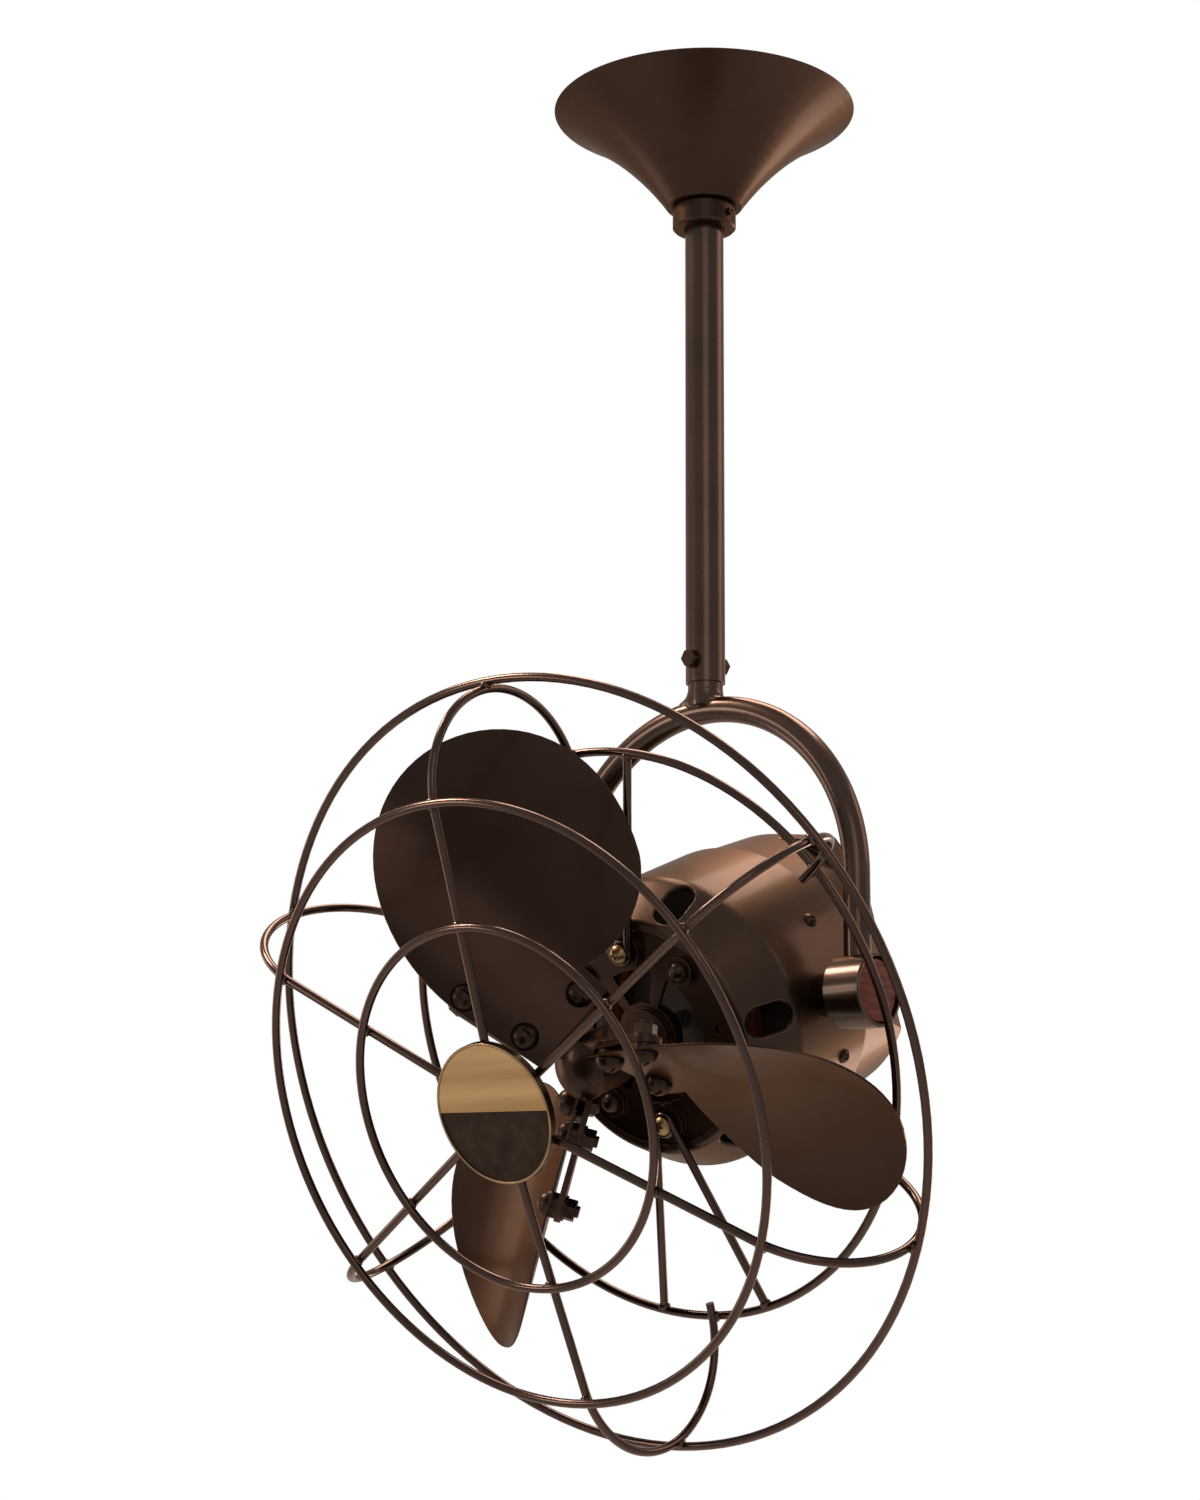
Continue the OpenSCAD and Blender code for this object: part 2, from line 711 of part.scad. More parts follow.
module motor_front() {
    color(bronze_light) head() difference() {
        union() {
            rotate_extrude($fn = 120) polygon(concat(front_path(0), flip(front_path(cover_wall))));
            vent_flange();
        }
        vent_cut();
        for (side = [0, 180])
            rotate([0, 0, side]) along_x(cover_inner_r - 4) cylinder(r = stud_root_r + hole_gap, h = 10);
        for (side = [0, 180], lift = [-1, 1])
            rotate([0, 0, side + lift * side_screw_angle]) translate([0, 0, -side_screw_back])
                along_x(cover_inner_r - 4) cylinder(d = side_screw_d + 2 * hole_gap, h = 10);
    }
}

module end_shield() {
    side_window = 54;
    small_window = 22;
    color(bronze) head() difference() {
        union() {
            translate([0, 0, shield_top - shield_thickness]) cylinder(r = shield_r, h = shield_thickness);
            translate([0, 0, shield_boss_back])
                cylinder(r = shield_boss_r, h = shield_top + 3 - shield_boss_back);
            for (angle = [0:45:315]) if (angle % 180 != 0)
                rotate([0, 0, angle]) translate([shield_screw_r, 0, shield_top - 9]) {
                    cylinder(r = 6.5, h = 9);
                    cylinder(r = angle % 90 == 0 ? 10 : 8, h = 9 + pad_top - shield_top);
                }
        }
        translate([0, 0, shield_boss_back - 1]) cylinder(d = bearing_d, h = bearing_width + 4);
        cylinder(r = shaft_r + 1, h = housing_d);
        for (angle = [0:45:315])
            rotate([0, 0, angle]) translate([shield_screw_r, 0, 0])
                cylinder(d = strut_screw_d, h = housing_d);
        for (angle = [0:90:270])
            rotate([0, 0, angle]) shield_window(angle % 180 == 0 ? side_window : small_window);
    }
}

// A curved window beside the shaft, between two of the shield's arms
module shield_window(half) {
    reach = 2 * shield_r;
    translate([0, 0, shield_top - 20]) linear_extrude(40) intersection() {
        difference() {
            circle(r = shield_screw_r - 10.5);
            circle(r = shield_boss_r + 3);
        }
        polygon([[0, 0], polar(reach, -half), polar(reach, 0), polar(reach, half)]);
    }
}

// The space between the two flat sides, which close in towards the back
module between_flats(inset) {
    front = seam_back - 10;
    back = housing_back + 2;
    front_x = flat_x(front) - inset;
    back_x = flat_x(back) - inset;
    rotate([90, 0, 0]) linear_extrude(2 * housing_d, center = true)
        polygon([[-front_x, -front], [front_x, -front], [back_x, -back], [-back_x, -back]]);
}

module rear_cover() {
    spigot_r = cover_inner_r - hole_gap;
    lug_front = -(housing_back - plate_thickness);
    lining = cover_wall + 1;
    color(bronze_light) head() {
        difference() {
            intersection() {
                rotate_extrude($fn = 120) polygon(concat(
                    [[0, 5 - seam_back], [spigot_r, 5 - seam_back], [spigot_r, -seam_back]],
                    rear_path(0), [[0, lug_front]]));
                between_flats(0);
            }
            intersection() {
                rotate_extrude($fn = 120) polygon(concat(
                    [[0, 6 - seam_back], [spigot_r - cover_wall, 6 - seam_back]], rear_path(lining),
                    [[rear_end_r - lining, lug_front - 1], [0, lug_front - 1]]));
                between_flats(lining);
            }
        }
        intersection() {
            translate([0, 0, lug_front]) linear_extrude(lug_thickness) difference() {
                lug_outline(rear_end_r);
                circle(r = rear_end_r - lining);
                for (angle = lug_angles)
                    translate(polar(lug_centre_r, angle)) circle(d = side_screw_d, $fn = 24);
            }
            between_flats(0);
        }
    }
}

module back_plate() {
    plate_a = -housing_back;
    slots = 18;
    color(bronze_light) head() difference() {
        union() {
            intersection() {
                translate([0, 0, plate_a]) linear_extrude(plate_thickness) lug_outline(rear_end_r);
                between_flats(0);
            }
            translate([0, 0, plate_a]) cylinder(d = bearing_d + 8, h = back_boss_front - plate_a);
        }
        translate([0, 0, back_seat]) cylinder(d = bearing_d, h = bearing_width + 3);
        for (angle = lug_angles)
            rotate([0, 0, angle]) translate([lug_centre_r, 0, plate_a - 1])
                cylinder(d = side_screw_d + 2 * hole_gap, h = 10, $fn = 24);
        for (i = [0:slots - 1])
            rotate([0, 0, (i + 0.5) * 360 / slots]) translate([0, 0, plate_a - 1])
                linear_extrude(plate_thickness + 2) bar([rear_end_r * 0.42, 0], [rear_end_r * 0.74, 0], 2.2);
    }
}

module lug_screws() {
    color(bronze) head() for (angle = lug_angles)
        rotate([0, 0, angle]) translate([lug_centre_r, 0, -housing_back]) rotate([180, 0, 0])
            pan_screw(side_screw_d, 3, plate_thickness + lug_thickness - 1);
}

// Screw with a round cross-slotted head above z = 0 and its shank below
module pan_screw(d, head_h, length) {
    difference() {
        union() {
            dome_head(2 * d, head_h);
            translate([0, 0, -length]) cylinder(d = d, h = length + 0.2, $fn = 24);
        }
        translate([0, 0, head_h]) cross_recess(1.1 * d, head_h * 0.55);
    }
}

module side_screws() {
    color(bronze) each_side_screw() translate([0, 0, housing_r + seat_gap])
        pan_screw(side_screw_d, 2.4, housing_r - stator_d / 2 + 6);
}

module stator_spacers() {
    color(steel) each_side_screw() translate([0, 0, stator_d / 2 + 0.3])
        ring_wall(5, side_screw_d / 2 + hole_gap, cover_inner_r - stator_d / 2 - 0.6);
}

module stator_core() {
    slots = 24;
    slot_r = stator_bore_r + 9;
    color(steel) head() difference() {
        translate([0, 0, -stator_length / 2]) cylinder(d = stator_d, h = stator_length);
        cylinder(r = stator_bore_r, h = 2 * stator_length, center = true);
        for (i = [0:slots - 1])
            rotate([0, 0, i * 360 / slots]) {
                translate([slot_r, 0, 0]) cylinder(r = 3.2, h = 2 * stator_length, center = true, $fn = 24);
                translate([slot_r - 10, -1, -stator_length]) cube([10, 2, 2 * stator_length]);
            }
        for (side = [0, 180], lift = [-1, 1])
            rotate([0, 0, side + lift * side_screw_angle]) translate([0, 0, -side_screw_back])
                along_x(stator_d / 2 - 8) cylinder(d = side_screw_d, h = 10, $fn = 24);
    }
}

module windings() {
    color("#7a3b1e") head() for (end = [0, 1]) mirror([0, 0, end])
        translate([0, 0, stator_length / 2]) rotate_extrude() translate([stator_bore_r + 3, 0]) union() {
            square([13, 8]);
            translate([2, 0]) square([9, 10]);
        }
}

module bearings() {
    color("silver") head()
        for (a = [shield_boss_back + 2, back_seat + 1])
            translate([0, 0, a]) rotate_extrude() difference() {
                translate([shaft_r + running_gap, 0]) square([bearing_d / 2 - shaft_r - running_gap, bearing_width]);
                for (face = [-0.2, bearing_width - 0.5])
                    translate([shaft_r + 2, face]) square([bearing_d / 2 - shaft_r - 4, 0.7]);
            }
}

// ---- Cage ----

module cage_ring(d, a) {
    color(bronze) head() translate([0, 0, a])
        rotate_extrude($fn = 144) translate([d / 2, 0]) circle(d = wire_d, $fn = wire_fn);
}

// One rib: the bend at the cage's side, and from its front end the straight run to the middle
module cage_rib(i) {
    color(bronze) head() rotate([0, 0, 30 + (i - 1) * 360 / rib_count])
        translate([bend_r, 0, rib_bend_front]) rotate([-90, 0, 0]) rotate([0, 0, rib_rise - 90]) {
            rotate_extrude(angle = 180 - rib_rise, $fn = 120) translate([rib_bend, 0])
                circle(d = wire_d, $fn = wire_fn);
            translate([rib_bend, 0, 0]) rotate([90, 0, 0])
                cylinder(d = wire_d, h = (rib_end[0] - rib_inner_r) / cos(rib_rise), $fn = wire_fn);
        }
}

// One wire bent round its screw, with two legs out to the rear ring
module strut(angle) {
    leg_r = ring_rear_d / 2 - wire_contact / 2 - 0.2;
    color(bronze) head() rotate([0, 0, angle]) {
        translate([shield_screw_r, 0, eye_a]) rotate_extrude(angle = 360, $fn = 48)
            translate([eye_r, 0]) circle(d = wire_d, $fn = wire_fn);
        for (side = [-1, 1])
            wire_between([shield_screw_r, side * eye_r, eye_a],
                         [leg_r * cos(strut_spread), side * leg_r * sin(strut_spread), ring_rear_a]);
    }
}

module strut_screws() {
    color(brass) head() for (angle = [90, 270])
        rotate([0, 0, angle]) translate([shield_screw_r, 0, eye_a + wire_r])
            pan_screw(strut_screw_d, 3.2, 10);
}

module cap_screws() {
    color(bronze) head() for (angle = [45:90:315])
        rotate([0, 0, angle]) translate([shield_screw_r, 0, pad_top]) {
            dome_head(11, 5);
            translate([0, 0, -8]) cylinder(d = strut_screw_d, h = 8.2, $fn = 24);
        }
}

module emblem() {
    rim = 1.2;
    color(brass) head() translate([0, 0, emblem_back]) {
        difference() {
            cylinder(d = emblem_d, h = emblem_thickness);
            translate([0, 0, emblem_thickness - 0.6]) cylinder(d = emblem_d - 2 * rim, h = 1);
        }
        translate([0, 0, emblem_plate_top - emblem_back - 5])
            cylinder(d = 6, h = emblem_back - emblem_plate_top + 5 + 0.2);
    }
}

module emblem_plate() {
    color(bronze) head() translate([0, 0, emblem_plate_top - 2]) {
        ring_wall(emblem_plate_r, 3, 2);
        translate([0, 0, -2]) ring_wall(7, 3, 3);
    }
}

// ---- Rotor ----

module shaft() {
    color(steel) head() translate([0, 0, shaft_back]) cylinder(r = shaft_r, h = hub_top + cap_seat - shaft_back);
}

module rotor_core() {
    color(steel) head() translate([0, 0, -stator_length / 2])
        ring_wall(rotor_r, shaft_r, stator_length);
}

// Part of the rolled sheet between two distances behind its middle
module sheet(from, to) {
    sheet_width = 1.5 * blade_length;
    translate([0, -blade_roll, 0]) rotate([0, 90, 0]) difference() {
        cylinder(r = blade_roll + to, h = sheet_width, $fn = 240);
        translate([0, 0, -1]) cylinder(r = blade_roll + from, h = sheet_width + 2, $fn = 240);
    }
}

// Carries a flat outline through the sheet
module through_sheet() {
    above = 20;
    below = 80;
    translate([0, above, 0]) rotate([90, 0, 0]) linear_extrude(above + below) children();
}

module blade_outline() {
    oval = [for (i = [0:71]) let (p = [blade_length / 2 * cos(5 * i), blade_width / 2 * sin(5 * i)])
        blade_centre + [p[0] * cos(blade_skew) + p[1] * sin(blade_skew),
                        p[1] * cos(blade_skew) - p[0] * sin(blade_skew)]];
    difference() {
        union() {
            polygon(oval);
            polygon(root_tab);
        }
        difference() {
            translate([0, notch[1] - blade_length]) square([notch[0], blade_length]);
            translate(shoulder_lobe) circle(r = shoulder_lobe_r);
        }
        translate([root_r - blade_length, -blade_length]) square([blade_length, 2 * blade_length]);
    }
}

module blade(i) {
    color(bronze) blade_place(i - 1) difference() {
        intersection() {
            sheet(-blade_half, blade_half);
            through_sheet() blade_outline();
        }
        for (spot = blade_screw_spots)
            on_sheet(spot) cylinder(d = blade_screw_d + 2 * hole_gap, h = 20, center = true, $fn = 24);
    }
}

// Outline of one carrier arm: round ends at the hub and at its three screws
module arm_outline() {
    far = blade_screw_spots[0];
    near = blade_screw_spots[1];
    low = blade_screw_spots[2];
    r = arm_half_width;
    to_low = heading(arm_root, low);
    to_near = heading(low, near);
    to_far = heading(near, far);
    home = heading(near, arm_root) + 360;
    polygon(concat(
        arc(low, r, to_low - 90, to_near - 90, 8),
        [near + r * (polar(1, to_near - 90) + polar(1, to_far - 90)) / (1 + cos(to_near - to_far))],
        arc(far, r, to_far - 90, to_far + 90, 10),
        arc(near, r, to_far + 90, home - 90, 3),
        arc(arm_root, r, home - 90, to_low + 270, 8)
    ));
}

module blade_carrier() {
    color(bronze) difference() {
        union() {
            head() translate([0, 0, hub_back]) cylinder(r = hub_r, h = hub_top - hub_back);
            for (index = [0:blade_count - 1])
                blade_place(index) intersection() {
                    sheet(arm_inner, arm_outer);
                    through_sheet() arm_outline();
                }
        }
        head() cylinder(r = shaft_r, h = 2 * housing_d);
        each_blade_screw() cylinder(d = blade_screw_d + 2 * hole_gap, h = 20, $fn = 24);
    }
}

module hub_cap() {
    color(bronze) head() translate([0, 0, hub_top]) difference() {
        dome_head(hub_d, 6);
        translate([0, 0, -1]) cylinder(r = shaft_r, h = 1 + cap_seat);
    }
}

module blade_screws() {
    color(bronze) each_blade_screw() {
        translate([0, 0, -blade_half - 2 * seat_gap]) rotate([180, 0, 0]) difference() {
            dome_head(blade_screw_d + 8.5, 6.5);
            translate([-blade_screw_d, -0.7, 4.5]) cube([2 * blade_screw_d, 1.4, 5]);
        }
        translate([0, 0, -blade_half - 3 * seat_gap])
            cylinder(d = blade_screw_d, h = blade_half + arm_outer + blade_screw_d + 2.5, $fn = 24);
    }
}

module blade_spacers() {
    color(bronze_light) for (index = [0:blade_count - 1])
        blade_place(index) intersection() {
            sheet(blade_half, arm_inner);
            for (spot = blade_screw_spots)
                on_sheet(spot) ring_wall(blade_screw_d / 2 + 3.5, blade_screw_d / 2 + hole_gap, 20);
        }
}

module blade_washers() {
    color(bronze_light) each_blade_screw() translate([0, 0, arm_outer])
        ring_wall(blade_screw_d / 2 + 3.5, blade_screw_d / 2 + hole_gap, 1.2);
}

module blade_nuts() {
    color(bronze) each_blade_screw() translate([0, 0, arm_outer + 1.2]) difference() {
        hex(blade_screw_d + 4, blade_screw_d * 0.83);
        translate([0, 0, -1]) cylinder(d = blade_screw_d, h = 10, $fn = 24);
    }
}

ceiling_bracket();
hanger_rubbers();
hanger_bolt();
hanger_nut();
downrod();
rod_bolt();
rod_washers();
rod_nut();
yoke();
yoke_cup(-1);  // yoke_cup_left
yoke_cup(1);  // yoke_cup_right
canopy();
collar();
collar_screw();
motor_front();
end_shield();
rear_cover();
back_plate();
lug_screws();
side_screws();
stator_spacers();
stator_core();
windings();
bearings();
pivot_stud(-1);  // pivot_stud_left
pivot_stud(1);  // pivot_stud_right
pivot_nuts();
friction_washers();
strut(90);  // strut_top
strut(-90);  // strut_bottom
strut_screws();
cap_screws();
cage_ring(ring_outer_d, ring_outer_a);  // ring_outer
cage_ring(ring_mid_d, ring_mid_a);  // ring_mid
cage_ring(ring_small_d, ring_small_a);  // ring_small
cage_ring(ring_rear_d, ring_rear_a);  // ring_rear
for (i = [1:rib_count])
    cage_rib(i);
emblem();
emblem_plate();
shaft();
rotor_core();
blade_carrier();
hub_cap();
for (i = [1:blade_count])
    blade(i);
blade_screws();
blade_spacers();
blade_washers();
blade_nuts();
knob(-1);  // knob_left
knob(1);  // knob_right
knob_insert(-1);  // knob_insert_left
knob_insert(1);  // knob_insert_right
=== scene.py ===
import json
import math
import random

import bmesh
import bpy
from mathutils import Matrix, Vector, noise


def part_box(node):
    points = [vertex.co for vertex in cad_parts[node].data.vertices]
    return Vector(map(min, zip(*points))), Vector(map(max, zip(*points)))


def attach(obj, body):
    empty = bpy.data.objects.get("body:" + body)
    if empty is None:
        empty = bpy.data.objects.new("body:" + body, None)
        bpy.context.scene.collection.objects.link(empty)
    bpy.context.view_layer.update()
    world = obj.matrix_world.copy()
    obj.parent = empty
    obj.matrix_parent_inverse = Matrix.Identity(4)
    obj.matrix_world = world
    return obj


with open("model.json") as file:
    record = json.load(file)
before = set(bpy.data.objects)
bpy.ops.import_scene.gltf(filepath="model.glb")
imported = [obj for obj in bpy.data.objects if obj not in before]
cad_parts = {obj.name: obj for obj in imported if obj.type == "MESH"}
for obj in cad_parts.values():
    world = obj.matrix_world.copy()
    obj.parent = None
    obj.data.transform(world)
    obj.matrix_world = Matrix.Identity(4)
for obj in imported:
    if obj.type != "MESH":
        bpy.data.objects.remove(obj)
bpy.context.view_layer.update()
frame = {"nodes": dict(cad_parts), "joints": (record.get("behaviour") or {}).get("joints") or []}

nodes = frame["nodes"]
mm = 0.001
print("frame loaded:", len(nodes), "nodes")

# The head's own frame, read from the joints: x along the tilt axis, y up and z forward
# along the fan's axis, in mm
joints = {joint["name"]: joint for joint in frame["joints"]}
headPivot = Vector(joints["head_tilt"]["pos_m"])
headDip = math.asin(-joints["fan_spin"]["axis"][2])       # how far it looks below level, in radians
headTurn = (Matrix.Translation(headPivot) @ Matrix.Rotation(math.radians(90) + headDip, 4, "X")
            @ Matrix.Scale(mm, 4))
forward = Vector((0, 0, 1))

# The camera, where the photograph was taken from
cameraSetup = {
    "place": (0.9883, -1.2350, -0.7071),
    "yaw": -40.722,      # degrees from +Y, turned to the left
    "pitch": 12.155,     # degrees, looking up
    "roll": -0.282,
    "lens": 72.33,       # mm
    "film": 36.0,        # mm along the picture's long side
    "farthest": 60.0,    # beyond the floor's far edge
}


def makeCamera(setup):
    data = bpy.data.cameras.new("camera")
    data.lens = setup["lens"]
    data.sensor_width = setup["film"]
    data.clip_end = setup["farthest"]
    camera = bpy.data.objects.new("camera", data)
    bpy.context.scene.collection.objects.link(camera)
    yaw, pitch, roll = (math.radians(setup[k]) for k in ("yaw", "pitch", "roll"))
    ahead = Vector((math.sin(yaw) * math.cos(pitch), math.cos(yaw) * math.cos(pitch), math.sin(pitch)))
    right = Vector((math.cos(yaw), -math.sin(yaw), 0))
    down = ahead.cross(right)
    across = math.cos(roll) * right + math.sin(roll) * down
    below = math.cos(roll) * down - math.sin(roll) * right
    turn = Matrix((across, -below, -ahead)).transposed()
    camera.matrix_world = Matrix.Translation(setup["place"]) @ turn.to_4x4()
    bpy.context.scene.camera = camera


makeCamera(cameraSetup)
print("camera set")


def linearColour(hexColour):
    # sRGB hex to linear
    parts = [int(hexColour[i:i + 2], 16) / 255 for i in (1, 3, 5)]
    return [v / 12.92 if v <= 0.04045 else ((v + 0.055) / 1.055) ** 2.4 for v in parts] + [1.0]


def joinSockets(tree, node, links):
    # a link comes from a socket, or from a node whose first output is meant
    for name, source in links.items():
        socket = source.outputs[0] if isinstance(source, bpy.types.Node) else source
        tree.links.new(socket, node.inputs[name])


def addNode(tree, kind, settings=None, links=None):
    # a setting is a socket's value, a property, or a colour ramp's stops as (place, colour)
    node = tree.nodes.new(kind)
    for name, value in (settings or {}).items():
        if name == "stops":
            elements = node.color_ramp.elements
            while len(elements) < len(value):
                elements.new(0.5)
            for element, (position, hexColour) in zip(elements, value):
                element.position = position
                element.color = linearColour(hexColour)
        elif isinstance(name, int) or name in node.inputs:
            node.inputs[name].default_value = value
        else:
            setattr(node, name, value)
    joinSockets(tree, node, links or {})
    return node


def startMaterial(name, settings):
    # gives the material, its node tree, its shader and the place on the object
    material = bpy.data.materials.new(name)
    material.use_nodes = True
    tree = material.node_tree
    tree.nodes.clear()
    shader = addNode(tree, "ShaderNodeBsdfPrincipled", settings)
    addNode(tree, "ShaderNodeOutputMaterial", links={"Surface": shader})
    place = addNode(tree, "ShaderNodeTexCoord").outputs["Object"]
    return material, tree, shader, place


# Dark bronze powder coat, baked on steel and wiped with oil. It gives the eye a satin
# metal sheen, warmer at a low angle, a faint cloudy tone and edges painted lighter, partly
# as the wiping's wear and partly as a painted highlight. The cloud is a patch of tone in mm.
# The peel is the coat's orange peel, from crest to crest and its depth in mm. Wires and
# tubes get no lighter edges, and their peel is drawn 3 mm wide and flatter, because one
# under 1 mm is too fine to show on them.
coats = {
    # canopy, collar, end shield and blade carrier: the dullest of the coats
    "bronzePowderCoat": {"dark": "#30211a", "light": "#3b2a22", "edge": "#5f4231", "cloud": 60,
                         "peel": (0.9, 0.03), "metallic": 0.9, "oil": 0.06, "roughness": (0.36, 0.43)},
    # yoke and downrod: a long soft streak down each tube
    "yokePowderCoat": {"dark": "#3b2a22", "light": "#49362c", "edge": None, "cloud": 60,
                       "peel": (3.0, 0.006), "metallic": 0.9, "oil": 0.35, "roughness": (0.25, 0.3)},
    # cage: a thin bright line along each dark wire
    "wirePowderCoat": {"dark": "#352219", "light": "#432d22", "edge": None, "cloud": 50,
                       "peel": (3.0, 0.006), "metallic": 0.92, "oil": 0.45, "roughness": (0.18, 0.22)},
    # motor housing: satin, with the edges round its vents painted pale, partly wear and partly a painted
    # highlight
    "housingPowderCoat": {"dark": "#36281f", "light": "#42332a", "edge": "#a08070", "cloud": 80,
                          "peel": (0.9, 0.03), "metallic": 0.9, "oil": 0.12, "roughness": (0.35, 0.42)},
    # blades: darker and smoother, so that they mirror the room in broad soft shapes
    "bladePowderCoat": {"dark": "#281a14", "light": "#33241d", "edge": "#60473a", "cloud": 90,
                        "peel": (0.8, 0.03), "metallic": 0.92, "oil": 0.08, "roughness": (0.27, 0.33)},
    # yoke cups: satin, with a rim painted lighter, partly wear and partly a painted highlight
    "cupPowderCoat": {"dark": "#34281f", "light": "#403128", "edge": "#8d7361", "cloud": 30,
                      "peel": (0.6, 0.03), "metallic": 0.9, "oil": 0.3, "roughness": (0.27, 0.33)},
    # screws, nuts, hub cap and the emblem's body: nearly black, with small soft glints
    "blackenedSteel": {"dark": "#25180f", "light": "#35251c", "edge": "#4a382f", "cloud": 8,
                       "peel": (0.5, 0.03), "metallic": 0.9, "oil": 0.15, "roughness": (0.34, 0.42)},
}
coating = {                     # what the coats share
    "edgeRadius": 0.5,          # mm over which an edge is rounded and painted lighter
    "wearAndHighlightBend": (0.99, 0.75),    # cosine of an edge's bend where the lighter edge colour, wear and painted highlight, starts and is full
    "oilPatch": 12,             # mm, patches where the oil lies thicker or thinner
    "peelStrength": 0.3,
    "sheen": "#edcdbb",         # the coat's tone at a low angle
    "oilRoughness": 0.14,
}


def makeCoat(name, look):
    material, tree, shader, place = startMaterial(
        name, {"Metallic": look["metallic"], "Specular Tint": linearColour(coating["sheen"]),
               "Coat Weight": look["oil"], "Coat Roughness": coating["oilRoughness"]})
    cloud = addNode(tree, "ShaderNodeTexNoise",
                    {"Scale": 1 / (look["cloud"] * mm), "Detail": 6.0, "Roughness": 0.6}, {"Vector": place})
    tone = addNode(tree, "ShaderNodeValToRGB", {"stops": [(0.3, look["dark"]), (0.7, look["light"])]},
                   {"Fac": cloud})
    oil = addNode(tree, "ShaderNodeTexNoise", {"Scale": 1 / (coating["oilPatch"] * mm), "Detail": 4.0},
                  {"Vector": place})
    low, high = look["roughness"]
    rough = addNode(tree, "ShaderNodeMapRange", {"To Min": low, "To Max": high}, {"Value": oil})
    width, depth = look["peel"]
    peel = addNode(tree, "ShaderNodeTexNoise", {"Scale": 1 / (width * mm), "Detail": 2.0}, {"Vector": place})
    bump = addNode(tree, "ShaderNodeBump", {"Strength": coating["peelStrength"], "Distance": depth * mm},
                   {"Height": peel})
    if look["edge"]:
        rounded = addNode(tree, "ShaderNodeBevel", {"samples": 4, "Radius": coating["edgeRadius"] * mm})
        joinSockets(tree, bump, {"Normal": rounded})
        flat = addNode(tree, "ShaderNodeNewGeometry").outputs["True Normal"]
        bend = addNode(tree, "ShaderNodeVectorMath", {"operation": "DOT_PRODUCT"}, {0: rounded, 1: flat})
        # edges take the lighter edge colour: partly wear from the wiping, partly a painted highlight
        start, full = coating["wearAndHighlightBend"]
        wearAndHighlight = addNode(tree, "ShaderNodeMapRange", {"From Min": start, "From Max": full},
                         {"Value": bend.outputs["Value"]})
        # a colour mix has its colours in sockets 6 and 7 and its result in 2
        tone = addNode(tree, "ShaderNodeMix", {"data_type": "RGBA", 7: linearColour(look["edge"])},
                       {0: wearAndHighlight, 6: tone}).outputs[2]
    joinSockets(tree, shader, {"Base Color": tone, "Roughness": rough, "Normal": bump})
    return material


# Plain metals. The grain is the width of the surface's marks in mm: grinding, brushing and
# polishing leave marks under 0.1 mm, too fine to show, so they are drawn 0.3 mm and wider.
# The stretch scales the pattern's axes, and a small number draws the marks out along one.
metals = {
    # zinc plate on pressed steel, passivated: dull grey with spread highlights
    "zincPlatedSteel": {"dark": "#747675", "light": "#989a98", "grain": 1.2, "stretch": (1, 1, 1),
                        "roughness": (0.5, 0.62)},
    # ground steel of shaft and bearings: clean and bright, with fairly sharp highlights
    "groundSteel": {"dark": "#9c9c9b", "light": "#c2c2c0", "grain": 0.3, "stretch": (1, 1, 1),
                    "roughness": (0.22, 0.34)},
    # turned brass screws, inserts and rim: a muted yellow, satin
    "satinBrass": {"dark": "#7c6548", "light": "#9f8561", "grain": 0.5, "stretch": (0.06, 1, 1),
                   "roughness": (0.26, 0.4)},
    # brushed and polished brass of the emblem's upper half: pale gold, lines along x
    "polishedBrassFace": {"dark": "#a27d52", "light": "#c29d70", "grain": 0.4, "stretch": (0.05, 1, 1),
                          "roughness": (0.3, 0.42)},
    # chemically darkened brass of its lower half: brown-black and nearly matt
    "patinatedBrassFace": {"dark": "#2c2119", "light": "#3c2f26", "grain": 0.6, "stretch": (1, 1, 1),
                           "roughness": (0.42, 0.6)},
}
metalSurface = {
    "patch": 9,               # mm, patches of slightly different tone
    "markStrength": 0.25,
    "markDepth": 0.02,        # mm
}


def makeMetal(name, look):
    material, tree, shader, place = startMaterial(name, {"Metallic": 1.0})
    stretched = addNode(tree, "ShaderNodeMapping", {"Scale": look["stretch"]}, {"Vector": place})
    patch = addNode(tree, "ShaderNodeTexNoise", {"Scale": 1 / (metalSurface["patch"] * mm), "Detail": 4.0},
                    {"Vector": stretched})
    tone = addNode(tree, "ShaderNodeValToRGB", {"stops": [(0.3, look["dark"]), (0.72, look["light"])]},
                   {"Fac": patch})
    grain = addNode(tree, "ShaderNodeTexNoise", {"Scale": 1 / (look["grain"] * mm), "Detail": 2.0},
                    {"Vector": stretched})
    low, high = look["roughness"]
    rough = addNode(tree, "ShaderNodeMapRange", {"To Min": low, "To Max": high}, {"Value": grain})
    bump = addNode(tree, "ShaderNodeBump",
                   {"Strength": metalSurface["markStrength"], "Distance": metalSurface["markDepth"] * mm},
                   {"Height": grain})
    joinSockets(tree, shader, {"Base Color": tone, "Roughness": rough, "Normal": bump})
    return material


# What is stacked or wound inside the motor. The pitch is from one sheet or wire to the
# next in mm, along the fan's axis, and the depth between them is in mm too.
layered = {
    # stamped core sheets under brown varnish: fine dark and grey lines, half shiny
    "varnishedLaminations": {"stops": [(0.2, "#2a2320"), (0.8, "#5c524a")], "pitch": 0.5,
                             "wave": {"Distortion": 0.4, "Detail": 1.0}, "strength": 0.5, "depth": 0.06,
                             "shader": {"Metallic": 0.8, "Roughness": 0.5}},
    # enamelled copper wire dipped in varnish: red-brown, glossy, in slightly uneven turns
    "enamelledCopperWire": {"stops": [(0.15, "#3a170c"), (0.85, "#8a4424")], "pitch": 0.6,
                            "wave": {"Distortion": 3.0, "Detail": 2.0, "Detail Scale": 0.6},
                            "strength": 0.8, "depth": 0.2, "shader": {"Metallic": 0.3, "Roughness": 0.32}},
}
waveLength = 0.314       # distance between a wave texture's bands at scale 1


